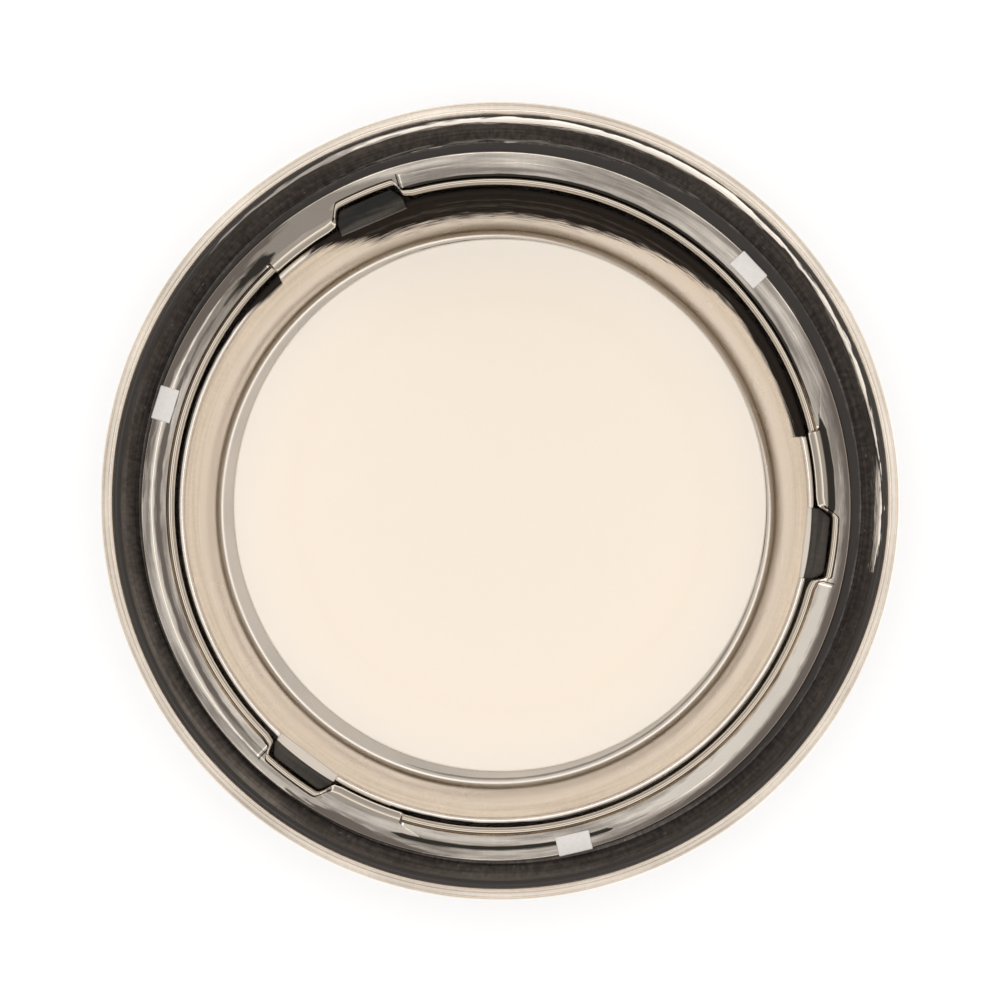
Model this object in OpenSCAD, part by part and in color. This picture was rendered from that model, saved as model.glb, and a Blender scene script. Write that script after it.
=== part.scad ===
// Round parts tray: a plated shell with a bayonet ledge, and a dish that lifts out of it.
// The dish drops in with its three tabs in the ledge's notches, and turns clockwise to lock.
// Millimetres, +Z up. The origin is on the shell's axis, on the surface that the tray stands on.

/* [Shell] */
// Diameter over the rim
rim_d = 110; // [96:1:150]
// Height from the table to the top of the rim
tray_h = 34; // [28:1:60]
// Width of the rim's top face
rim_w = 1.6; // [1.4:0.1:3]
// Height of the rim ring's outer skirt
rim_skirt_h = 5.2; // [4:0.2:8]
// Thickness of the shell's side wall
shell_wall = 0.8; // [0.6:0.1:1]
// Thickness of the shell's floor
shell_floor = 1.2; // [0.8:0.1:2.5]
// How much narrower in radius the shell is at its foot than at its edge
shell_taper = 1.6; // [0:0.2:2]
// Radius of the shell's bottom corner
shell_corner = 3; // [1.5:0.5:5]

/* [Foot and glide] */
// Height of the rubber foot
foot_h = 1.2; // [0.8:0.2:3]
// Width of the rubber foot
foot_w = 5; // [3:0.5:8]
// Gap in radius from the shell's foot to the rubber ring
foot_inset = 7; // [5:0.5:12]
// Thickness of the glide disc
glide_h = 2.8; // [2.4:0.2:5]
// Gap in radius from the edge of the dish's floor to the glide disc
glide_inset = 8; // [5:0.5:10]
// Radius of the pivot rivet's shank
pivot_r = 2; // [1.5:0.25:3]
// Radius of the key pins
key_r = 1.5; // [1:0.25:2]
// Distance of the key pins from the glide disc's centre
key_pcr = 20; // [12:1:22]

/* [Liner] */
// Width of the dark band between the rim and the ledge, seen from above
band_w = 3.8; // [3:0.1:8]
// Thickness of the liner's sheet
liner_t = 0.6; // [0.5:0.1:1]
// Radius of the liner's rounded shoulder under the rim
liner_shoulder = 0.9; // [0.5:0.1:1.2]

/* [Bayonet ledge] */
// Depth from the top of the rim to the ledge
ledge_depth = 7.6; // [6:0.2:10]
// Thickness of the ledge
ledge_t = 1.2; // [1:0.1:2]
// How much of the ledge rests on the liner's flange where it is least
seat_w = 0.3; // [0.2:0.1:2]
// Thickness of the sleeve that hangs from the ledge
sleeve_t = 0.5; // [0.4:0.1:1]
// How far the ledge and the dish sit off the shell's axis
ring_shift = 0.8; // [0:0.1:0.8]
// Direction of that shift, in degrees from +X
ring_shift_dir = 225; // [0:5:355]
// Height of the bead along the lip
bead_h = 0.5; // [0.3:0.1:0.6]
// Direction of the middle of the first entry notch
notch_dir = 113.2; // [100:0.1:125]
// Angle that each notch takes up
notch_angle = 12.5; // [10:0.5:16]
// Depth of the notches, in radius
notch_depth = 1.9; // [1.6:0.1:3]
// Angle that each stop block takes up
block_angle = 13.5; // [10:0.5:16]
// Angle over which a raised land climbs off the lip
ramp_angle = 6.5; // [4:0.5:10]
// Height of the raised lands
land_h = 0.4; // [0.3:0.05:0.6]
// Width of the raised lands
land_w = 2.4; // [1.4:0.1:3]
// Depth of the channel under the lip
channel_h = 3.6; // [3.2:0.2:6]

/* [Ledge pads] */
// Direction of the middle of the first pad
pad_dir = 43; // [35:1:60]
// Length of a pad along the ledge
pad_l = 4.8; // [3:0.2:8]
// Width of a pad, from the ledge's outer edge inwards
pad_w = 2.7; // [2.2:0.1:3.2]
// How far a pad stands up from the ledge
pad_h = 0.6; // [0.4:0.1:1]
// Radius of the peg under a pad
peg_r = 0.55; // [0.4:0.05:0.6]

/* [Dish] */
// Thickness of the dish's sheet
dish_wall_t = 0.8; // [0.6:0.1:1.1]
// How much narrower in radius the dish's floor is than its mouth
dish_taper = 3.4; // [2:0.1:6]
// Radius of the corner between the dish's wall and floor
dish_corner = 1; // [0.8:0.1:3]
// Gap in radius between the dish and the lip
dish_gap = 0.5; // [0.4:0.05:0.8]
// Gap in radius between the dish and the stop blocks
block_gap = 0.3; // [0.2:0.05:0.35]
// Height of the tabs
tab_h = 2; // [1.6:0.1:2.4]
// Gap between a tab and the notch that it passes
tab_gap = 0.3; // [0.2:0.05:0.5]
// Gap between the top of a tab and the lip that it slides under
tab_headroom = 0.4; // [0.3:0.1:0.8]
// Thickness of the loose mat
mat_t = 1.2; // [1:0.1:2]
// Slack in radius between the mat and the dish's corner
mat_slack = 0.85; // [0.8:0.05:1.5]

/* [Hidden] */
$fn = 96;

FOLD = 3;                           // the bayonet repeats three times round
fit = 0.1;                          // clearance between pieces that nest
past = 1;                           // how far a cutter runs past what it cuts

// Shell and rim
rim_top_t = 2.4;                    // thickness of the rim ring over the liner's flange
rim_crown = 0.5;                    // rounding of the rim's two top corners
rim_groove_r = 0.16;                // the turned grooves in the rim's top
rim_r = rim_d / 2;
rim_in_r = rim_r - rim_w;
shell_top_r = rim_in_r + shell_wall;
shell_foot_r = shell_top_r - shell_taper;
shell_z = foot_h;                   // underside of the shell
floor_z = shell_z + shell_floor;    // top of the shell's floor
foot_edge = 0.4;                    // chamfer round the rubber foot

// Ledge and liner
liner_top_z = tray_h - rim_top_t;   // where the rim rests on the liner's top flange
shell_edge_z = liner_top_z - liner_t;
ledge_z = tray_h - ledge_depth;
ledge_under_z = ledge_z - ledge_t;
flange_z = ledge_under_z - liner_t; // underside of the liner's bottom flange
ledge_r = rim_in_r - band_w;
ledge_edge = 0.2;                   // chamfer round the ledge
ledge_w = notch_depth + sleeve_t + 2 * ring_shift + 2 * fit + seat_w;
lip_r = ledge_r - ledge_w;          // the lip's inner edge
notch_r = lip_r + notch_depth;      // the notches' outer edge
notch_corner = 0.7;                 // rounding of the notches' outer corners
notch_slant = 0.35;                 // how far each side of a notch leans out and in
sleeve_in_r = notch_r + fit;        // the channel's outer wall
sleeve_r = sleeve_in_r + sleeve_t;
channel_z = ledge_under_z - channel_h;
hem_t = 0.8;                        // thickness of the hem under the liner's flange
liner_foot_r = ledge_r + ring_shift + fit;
liner_hole_r = sleeve_r + ring_shift + fit;
hem_r = liner_hole_r + ring_shift + seat_w;
block_round = 0.5;                  // rounding of a stop block's top inner edge
land_start = 0.5;                   // how far outside the lip a raised land begins
land_toe = 0.1;                     // width of a land where it begins, and its step at the top
land_sink = 0.2;                    // how far a land's stock runs down into the ledge
pad_edge = 0.15;                    // chamfer at a pad's two ends
pad_sink = 0.3;                     // depth of the pocket that a pad sits in
pad_z = ledge_z - pad_sink;
peg_pos_r = (sleeve_r + ledge_r) / 2;

// Dish and glide
dish_top_r = lip_r - dish_gap;      // outside of the dish at its mouth
dish_in_r = dish_top_r - dish_wall_t;
dish_z = floor_z + glide_h;         // underside of the dish's floor
dish_floor_z = dish_z + dish_wall_t;
dish_floor_r = dish_in_r - dish_taper;
dish_bow = 0.45;                    // how far the dish's wall hollows out
tab_z = ledge_under_z - tab_headroom;
tab_cap_t = 0.8;                    // thickness of a tab over the dish's edge
tab_hook_t = 0.4;                   // thickness of a tab inside the dish's edge
dish_edge_z = tab_z - tab_cap_t;
mat_r = dish_floor_r - dish_corner - mat_slack;
mat_round = 0.3;
mat_pocket = 0.6;                   // recess under the mat for the rivet's head
rivet_head_r = pivot_r + 1.5;
rivet_head_t = 0.5;
tail_r = pivot_r + 1.4;
tail_t = 0.6;
washer_t = 0.4;
tail_drop = 0.3;                    // gap between the rivet's tail and the shell's floor
glide_r = dish_floor_r - glide_inset;
glide_edge = 0.5;
recess_r = tail_r + 0.5;            // recess under the glide disc for the rivet's tail
recess_h = tail_drop + tail_t + washer_t + fit;
key_h = 1.4;                        // how far the key pins stand up into the glide disc

shift = [ring_shift * cos(ring_shift_dir), ring_shift * sin(ring_shift_dir), 0];

// Points along an arc about c, from angle a to angle b
function arc(c, r, a, b, steps = 8) =
    [for (i = [0:steps]) c + r * [cos(a + (b - a) * i / steps), sin(a + (b - a) * i / steps)]];

function flipped(points) = [for (i = [len(points) - 1:-1:0]) points[i]];

// The liner's visible face, from its shoulder down to its foot: a shallow cove
cove_steps = 12;
cove = 0.3;
liner_face =
    let (top_r = rim_in_r - fit - liner_shoulder, top_z = liner_top_z - liner_shoulder)
    [for (i = [0:cove_steps])
        let (t = i / cove_steps, sag = cove * sin(180 * t))
        [top_r + (liner_foot_r - top_r) * t + sag / 2, top_z + (ledge_under_z - top_z) * t - sag]];

// The dish's inside, from its edge down: upright behind the tabs, then a slight cove
dish_face =
    let (bend_z = dish_edge_z - tab_h, low_z = dish_floor_z + dish_corner)
    concat([[dish_in_r, dish_edge_z]],
        [for (i = [0:cove_steps])
            let (t = i / cove_steps)
            [dish_in_r - dish_taper * t - dish_bow * sin(180 * t),
                bend_z + (low_z - bend_z) * t]]);

// Plan of a notch, or of the tab that stands in it: a trapezoid with round outer corners.
// gap draws it smaller all round, and inner is the radius that it starts from.
function notch_plan(gap, inner) =
    let (outer = notch_r - gap, corner = notch_corner,
        half_in = lip_r * sin(notch_angle / 2) + notch_slant - gap,
        half_out = half_in - 2 * notch_slant)
    concat([[inner, -half_in], [lip_r, -half_in]],
        arc([outer - corner, corner - half_out], corner, -60, 0, 4),
        arc([outer - corner, half_out - corner], corner, 0, 60, 4),
        [[lip_r, half_in], [inner, half_in]]);

// Copies of the children at the bayonet's three places, the first in direction dir
module at_each(dir) {
    for (k = [0:FOLD - 1]) rotate(dir + k * 360 / FOLD) children();
}

// A spun cup, with holes for the key pins
module outer_shell() {
    inner_foot_r = shell_foot_r - shell_wall;
    bend = shell_corner - shell_wall;
    color("gainsboro") difference() {
        rotate_extrude() polygon(concat(
            [[0, shell_z]],
            arc([shell_foot_r - shell_corner, shell_z + shell_corner], shell_corner, -90, 0),
            [[shell_top_r, shell_edge_z], [shell_top_r - shell_wall, shell_edge_z]],
            flipped(arc([inner_foot_r - bend, floor_z + bend], bend, -90, 0)),
            [[0, floor_z]]));
        translate(shift) at_each(0) translate([key_pcr, 0, shell_z - past])
            cylinder(r = key_r, h = shell_floor + 2 * past);
    }
}

// A turned bead: a crowned top with two fine grooves, and a skirt over the shell's edge
module rim_ring() {
    skirt_r = shell_top_r + fit;
    color("wheat") difference() {
        rotate_extrude() polygon(concat(
            [[skirt_r, tray_h - rim_skirt_h], [rim_r, tray_h - rim_skirt_h]],
            arc([rim_r - rim_crown, tray_h - rim_crown], rim_crown, 0, 90, 6),
            arc([rim_in_r + rim_crown, tray_h - rim_crown], rim_crown, 90, 180, 6),
            [[rim_in_r, liner_top_z], [skirt_r, liner_top_z]]));
        for (r = [rim_in_r + rim_crown, rim_r - rim_crown])
            rotate_extrude() translate([r, tray_h]) circle(rim_groove_r, $fn = 16);
    }
}

// The dark liner hangs from the shell's edge, and its bottom flange carries the ledge
module flare_ring() {
    back_r = shell_top_r - shell_wall - fit;
    shoulder_c = [rim_in_r - fit, liner_top_z - liner_shoulder];
    color("dimgray") rotate_extrude() polygon(concat(
        [[shell_top_r, shell_edge_z], [shell_top_r, liner_top_z]],
        arc(shoulder_c, liner_shoulder, 90, 180, 6),
        [for (i = [1:cove_steps]) liner_face[i]],
        [[liner_hole_r, ledge_under_z], [liner_hole_r, flange_z],
            [liner_foot_r + liner_t, flange_z]],
        [for (i = [cove_steps - 1:-1:2]) liner_face[i] + [liner_t, 0]],
        [[back_r, shell_edge_z - liner_shoulder], [back_r, shell_edge_z]]));
}

// The ledge, its lip and lands, the sleeve, and the hem that grips the liner's flange
module bayonet_ring() {
    bead_c = [lip_r + bead_h, ledge_z];
    color("tan") translate(shift) difference() {
        union() {
            rotate_extrude() polygon(concat(
                [[lip_r, ledge_under_z]],
                flipped(arc(bead_c, bead_h, 20, 180)),
                [[lip_r + 3 * bead_h, ledge_z], [ledge_r - ledge_edge, ledge_z],
                    [ledge_r, ledge_z - ledge_edge], [ledge_r, ledge_under_z],
                    [sleeve_r, ledge_under_z], [sleeve_r, flange_z], [hem_r, flange_z],
                    [hem_r, flange_z - hem_t], [sleeve_r, flange_z - hem_t],
                    [sleeve_r, channel_z], [sleeve_in_r, channel_z],
                    [sleeve_in_r, ledge_under_z]]));
            at_each(notch_dir + notch_angle / 2) stop_block();
            at_each(notch_dir + notch_angle / 2 + block_angle) raised_land();
        }
        at_each(notch_dir) translate([0, 0, channel_z - past])
            linear_extrude(tray_h) polygon(notch_plan(0, dish_in_r));
        at_each(pad_dir) {
            translate([peg_pos_r, 0, ledge_under_z]) cylinder(r = peg_r, h = ledge_t + past);
            translate([ledge_r - pad_w, -pad_l / 2, pad_z]) cube([pad_w + past, pad_l, past]);
        }
    }
}

// Fills the channel from the lip to the sleeve, from the notch's edge on
module stop_block() {
    inner = dish_top_r + block_gap;
    outer = sleeve_in_r + sleeve_t / 2;
    rotate_extrude(angle = block_angle) polygon([[inner, channel_z], [outer, channel_z],
        [outer, ledge_z], [inner + block_round, ledge_z], [inner, ledge_z - block_round]]);
}

// A low step on the ledge, whose outer edge climbs away from the lip and then follows it
module raised_land() {
    run = 360 / FOLD - notch_angle - block_angle;
    inner = lip_r + land_start;
    outer = lip_r + land_w;
    low = ledge_z - land_sink;
    high = ledge_z + land_h;
    steps = 6;
    climb = ramp_angle + 0.5;       // runs on into the land
    rotate(ramp_angle) rotate_extrude(angle = run - ramp_angle)
        polygon([[inner, low], [outer, low], [outer, high], [inner, high]]);
    translate([0, 0, low]) linear_extrude(land_sink + land_h) polygon(concat(
        [for (i = [0:steps]) let (a = climb * i / steps) inner * [cos(a), sin(a)]],
        [for (i = [steps:-1:0]) let (a = climb * i / steps,
            r = inner + land_toe + (outer - inner - 2 * land_toe) * i / steps)
            r * [cos(a), sin(a)]]));
}

// A pad sits in its pocket on the ledge's outer part, with a peg pressed through the ledge
module ledge_pad(k) {
    top = pad_sink + pad_h;
    color("lightgray") translate(shift) rotate(pad_dir + k * 360 / FOLD) {
        translate([ledge_r, 0, pad_z]) rotate([0, -90, 0]) linear_extrude(pad_w) polygon([
            [0, -pad_l / 2], [0, pad_l / 2], [top - pad_edge, pad_l / 2],
            [top, pad_l / 2 - pad_edge], [top, pad_edge - pad_l / 2],
            [top - pad_edge, -pad_l / 2]]);
        translate([peg_pos_r, 0, ledge_under_z]) cylinder(r = peg_r, h = ledge_t + pad_h / 2);
    }
}

module foot_ring() {
    outer = shell_foot_r - foot_inset;
    inner = outer - foot_w;
    color("black") rotate_extrude() polygon([[inner, shell_z], [outer, shell_z],
        [outer, foot_edge], [outer - foot_edge, 0], [inner + foot_edge, 0], [inner, foot_edge]]);
}

module key_pins() {
    color("silver") translate(shift) at_each(0) translate([key_pcr, 0, shell_z])
        cylinder(r = key_r, h = shell_floor + key_h);
}

// The dish turns on this disc, which stands on the shell's floor and is keyed to it
module glide_disc() {
    color("ivory") translate(shift) difference() {
        rotate_extrude() polygon([[0, floor_z], [glide_r - glide_edge, floor_z],
            [glide_r, floor_z + glide_edge], [glide_r, dish_z - glide_edge],
            [glide_r - glide_edge, dish_z], [0, dish_z]]);
        translate([0, 0, floor_z - past]) {
            cylinder(r = pivot_r + fit / 2, h = glide_h + 2 * past);
            cylinder(r = recess_r, h = recess_h + past);
            at_each(0) translate([key_pcr, 0, 0])
                cylinder(r = key_r + fit, h = key_h + fit + past);
        }
    }
}

module dish_pan() {
    corner_c = [dish_floor_r - dish_corner, dish_floor_z + dish_corner];
    color("antiquewhite") translate(shift) difference() {
        rotate_extrude() polygon(concat(
            [[0, dish_floor_z]],
            arc(corner_c, dish_corner, -90, -10, 6),
            flipped(dish_face),
            [for (p = dish_face) if (p[1] > corner_c[1]) p + [dish_wall_t, 0]],
            flipped(arc(corner_c, dish_corner + dish_wall_t, -90, -10, 6)),
            [[0, dish_z]]));
        translate([0, 0, dish_z - past]) cylinder(r = pivot_r, h = dish_wall_t + 2 * past);
    }
}

// The mat lies loose, against the side of the dish that faces away from the shift
module floor_mat() {
    color("linen") difference() {
        rotate_extrude() polygon(concat([[0, dish_floor_z], [mat_r, dish_floor_z]],
            arc([mat_r - mat_round, dish_floor_z + mat_t - mat_round], mat_round, 0, 90, 5),
            [[0, dish_floor_z + mat_t]]));
        translate([0, 0, dish_floor_z - past])
            cylinder(r = rivet_head_r + 2 * ring_shift + fit, h = mat_pocket + past);
    }
}

module pivot_rivet() {
    tail_z = floor_z + tail_drop;
    color("silver") translate(shift) {
        translate([0, 0, tail_z]) cylinder(r = pivot_r, h = dish_floor_z - tail_z);
        translate([0, 0, dish_floor_z]) cylinder(r = rivet_head_r, h = rivet_head_t);
        translate([0, 0, tail_z]) cylinder(r = tail_r, h = tail_t);
    }
}

module friction_washer() {
    color("gray") translate(shift) translate([0, 0, floor_z + tail_drop + tail_t])
        difference() {
            cylinder(r = tail_r, h = washer_t);
            translate([0, 0, -past]) cylinder(r = pivot_r, h = washer_t + 2 * past);
        }
}

// A moulded tab hooked over the dish's edge
module lock_tab(k) {
    color("black") translate(shift) difference() {
        rotate(notch_dir + k * 360 / FOLD) translate([0, 0, tab_z - tab_h])
            linear_extrude(tab_h) polygon(notch_plan(tab_gap, dish_in_r - tab_hook_t));
        rotate_extrude() translate([dish_in_r, 0]) square([dish_wall_t, dish_edge_z]);
    }
}

outer_shell();
rim_ring();
flare_ring();
bayonet_ring();
ledge_pad(0);  // ledge_pad_1
ledge_pad(1);  // ledge_pad_2
ledge_pad(2);  // ledge_pad_3
foot_ring();
key_pins();
glide_disc();
dish_pan();
floor_mat();
pivot_rivet();
friction_washer();
lock_tab(0);  // lock_tab_1
lock_tab(1);  // lock_tab_2
lock_tab(2);  // lock_tab_3
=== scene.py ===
import math

import bmesh
import bpy
from mathutils import Matrix, Vector


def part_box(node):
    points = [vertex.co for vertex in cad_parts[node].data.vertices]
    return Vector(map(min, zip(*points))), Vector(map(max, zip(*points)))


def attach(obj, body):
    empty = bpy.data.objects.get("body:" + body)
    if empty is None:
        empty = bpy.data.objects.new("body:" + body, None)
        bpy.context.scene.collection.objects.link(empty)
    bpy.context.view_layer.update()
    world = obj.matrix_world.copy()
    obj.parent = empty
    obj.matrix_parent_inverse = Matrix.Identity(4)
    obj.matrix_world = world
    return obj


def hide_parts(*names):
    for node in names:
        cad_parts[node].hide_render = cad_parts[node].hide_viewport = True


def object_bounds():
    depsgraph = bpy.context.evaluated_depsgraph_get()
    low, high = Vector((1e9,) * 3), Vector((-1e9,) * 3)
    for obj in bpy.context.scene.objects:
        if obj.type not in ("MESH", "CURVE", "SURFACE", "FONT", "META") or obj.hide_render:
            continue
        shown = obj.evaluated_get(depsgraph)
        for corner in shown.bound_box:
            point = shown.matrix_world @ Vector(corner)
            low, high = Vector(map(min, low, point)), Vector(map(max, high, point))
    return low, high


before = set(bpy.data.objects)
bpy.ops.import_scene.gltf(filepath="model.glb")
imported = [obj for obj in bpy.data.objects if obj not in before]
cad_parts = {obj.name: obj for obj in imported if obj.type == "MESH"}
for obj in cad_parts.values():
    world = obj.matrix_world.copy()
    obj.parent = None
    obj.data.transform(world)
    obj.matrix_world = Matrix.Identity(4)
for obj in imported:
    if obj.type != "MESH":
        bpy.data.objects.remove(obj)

cad_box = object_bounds()
MM = 0.001


# ---------------------------------------------------------------- Studio
# The tray stands on a pale table under a large soft ceiling light. The camera looks down
# into it from just in front of straight above.

table = bmesh.new()
bmesh.ops.create_grid(table, x_segments=1, y_segments=1, size=3.0)
table_mesh = bpy.data.meshes.new("table")
table.to_mesh(table_mesh)
table.free()
table_top = bpy.data.objects.new("table", table_mesh)
bpy.context.scene.collection.objects.link(table_top)

paper = bpy.data.materials.new("table_paper")
paper.use_nodes = True
paper_skin = paper.node_tree.nodes["Principled BSDF"]
paper_skin.inputs["Base Color"].default_value = (0.95, 0.95, 0.95, 1)
paper_skin.inputs["Roughness"].default_value = 0.9
paper_skin.inputs["Emission Color"].default_value = (1, 1, 1, 1)
paper_skin.inputs["Emission Strength"].default_value = 0.14
table_mesh.materials.append(paper)

tray_top = cad_box[1][2]
camera_rise = 520 * MM
camera_back = 13 * MM
camera_data = bpy.data.cameras.new("camera")
camera_data.sensor_width = 36
camera_data.lens = 136.2
camera = bpy.data.objects.new("camera", camera_data)
camera.location = (0, -camera_back, tray_top + camera_rise)
aim = Vector((0, 0, tray_top)) - camera.location
camera.rotation_euler = aim.to_track_quat("-Z", "Y").to_euler()
bpy.context.scene.collection.objects.link(camera)
bpy.context.scene.camera = camera
bpy.context.scene.view_settings.view_transform = "Standard"

room = bpy.data.worlds.new("room")
bpy.context.scene.world = room
room.use_nodes = True
room_nodes = room.node_tree.nodes
room_links = room.node_tree.links
sky = room_nodes["Background"]
direction = room_nodes.new("ShaderNodeTexCoord")
apart = room_nodes.new("ShaderNodeSeparateXYZ")
room_links.new(direction.outputs["Generated"], apart.inputs[0])
height = room_nodes.new("ShaderNodeValToRGB")
room_links.new(apart.outputs["Z"], height.inputs["Fac"])
# Brightness of the room from the horizon, 0, to straight up, 1
stops = height.color_ramp.elements
stops[0].position = 0.0
stops[0].color = (0.55, 0.55, 0.55, 1)
stops[1].position = 1.0
stops[1].color = (0.45, 0.45, 0.45, 1)
for where, level in ((0.10, 0.70), (0.30, 0.90), (0.42, 0.35), (0.70, 0.35),
                     (0.80, 1.35), (0.93, 1.35), (0.98, 0.5)):
    stops.new(where).color = (level, level, level, 1)
room_links.new(height.outputs["Color"], sky.inputs["Color"])
sky.inputs["Strength"].default_value = 1.5


# ---------------------------------------------------------------- Rim bead
# The bright bead that caps the shell's edge: a ring turned from bar, nickel plated and
# polished, with two fine grooves left in its crown by the tool.

# Spins an open outline right round the upright axis: one sector, then copies of it, joined.
def spin_round(shape, steps, sectors=12):
    bmesh.ops.spin(shape, geom=list(shape.verts) + list(shape.edges), cent=(0, 0, 0),
                   axis=(0, 0, 1), angle=math.tau / sectors, steps=steps // sectors)
    sector = list(shape.verts) + list(shape.edges) + list(shape.faces)
    for number in range(1, sectors):
        copied = bmesh.ops.duplicate(shape, geom=sector)["geom"]
        bmesh.ops.rotate(shape, verts=[v for v in copied if isinstance(v, bmesh.types.BMVert)],
                         cent=(0, 0, 0), matrix=Matrix.Rotation(math.tau * number / sectors, 3, "Z"))
    bmesh.ops.remove_doubles(shape, verts=shape.verts, dist=1e-7)
    bmesh.ops.recalc_face_normals(shape, faces=shape.faces)


# A turned piece: the outline is (radius, height, rounding) points in millimetres, spun
# about an upright axis through centre.
def turned(name, outline, centre=(0, 0), steps=360, closed=True):
    shape = bmesh.new()
    points = [shape.verts.new((r * MM, 0, z * MM)) for r, z, _ in outline]
    roundings = [rounding for _, _, rounding in outline]
    face = shape.faces.new(points)
    for size in sorted(set(roundings) - {0}):
        corners = [v for v, rounding in zip(points, roundings) if rounding == size]
        bmesh.ops.bevel(shape, geom=corners, offset=size * MM, offset_type="OFFSET", affect="VERTICES",
                        segments=4, profile=0.5, material=-1, clamp_overlap=True)
    bmesh.ops.delete(shape, geom=list(shape.faces), context="FACES_ONLY")
    if not closed:
        axis_edges = [e for e in shape.edges if all(abs(v.co.x) < 1e-9 for v in e.verts)]
        bmesh.ops.delete(shape, geom=axis_edges, context="EDGES")
    spin_round(shape, steps)
    bmesh.ops.translate(shape, verts=shape.verts, vec=(centre[0] * MM, centre[1] * MM, 0))
    return finished(name, shape)


# Turns a finished bmesh into an object: smooth, but sharp where faces meet at an angle.
def finished(name, shape, crease=38):
    for face in shape.faces:
        face.smooth = True
    for edge in shape.edges:
        if len(edge.link_faces) == 2:
            edge.smooth = edge.calc_face_angle(0) < math.radians(crease)
    mesh = bpy.data.meshes.new(name)
    shape.to_mesh(mesh)
    shape.free()
    piece = bpy.data.objects.new(name, mesh)
    bpy.context.scene.collection.objects.link(piece)
    weight = piece.modifiers.new("even_normals", "WEIGHTED_NORMAL")
    weight.keep_sharp = True
    return piece


# Points (radius, height, 0) along an arc, angles in degrees
def arc(centre_r, centre_z, radius, start, end, steps=8):
    turn = [math.radians(start + (end - start) * i / steps) for i in range(steps + 1)]
    return [(centre_r + radius * math.cos(a), centre_z + radius * math.sin(a), 0) for a in turn]


rim_low, rim_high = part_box("rim_ring")
tray_h = rim_high[2] / MM
rim_r = 55.0
rim_in_r = rim_r - 1.6
rim_skirt_z = rim_low[2] / MM
shell_top_r = rim_in_r + 0.8
liner_top_z = tray_h - 2.4
crown = 0.5
groove = 0.14

rim_outline = [(shell_top_r + 0.1, rim_skirt_z, 0.1), (rim_r, rim_skirt_z, 0.2)]
rim_outline += arc(rim_r - crown, tray_h - crown, crown, 0, 75, 6)
for groove_r in (rim_r - crown, rim_in_r + crown):
    rim_outline += [(groove_r + groove, tray_h, 0), (groove_r, tray_h - groove, 0),
                    (groove_r - groove, tray_h, 0)]
rim_outline += arc(rim_in_r + crown, tray_h - crown, crown, 105, 180, 6)
rim_outline += [(rim_in_r, liner_top_z, 0), (shell_top_r + 0.1, liner_top_z, 0)]
rim_bead = turned("rim_bead", rim_outline)
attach(rim_bead, "shell")
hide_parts("rim_ring")


# Height counts for this much more than radius where fine lines are spaced over both
LINE_SLANT = 1.37


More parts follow.
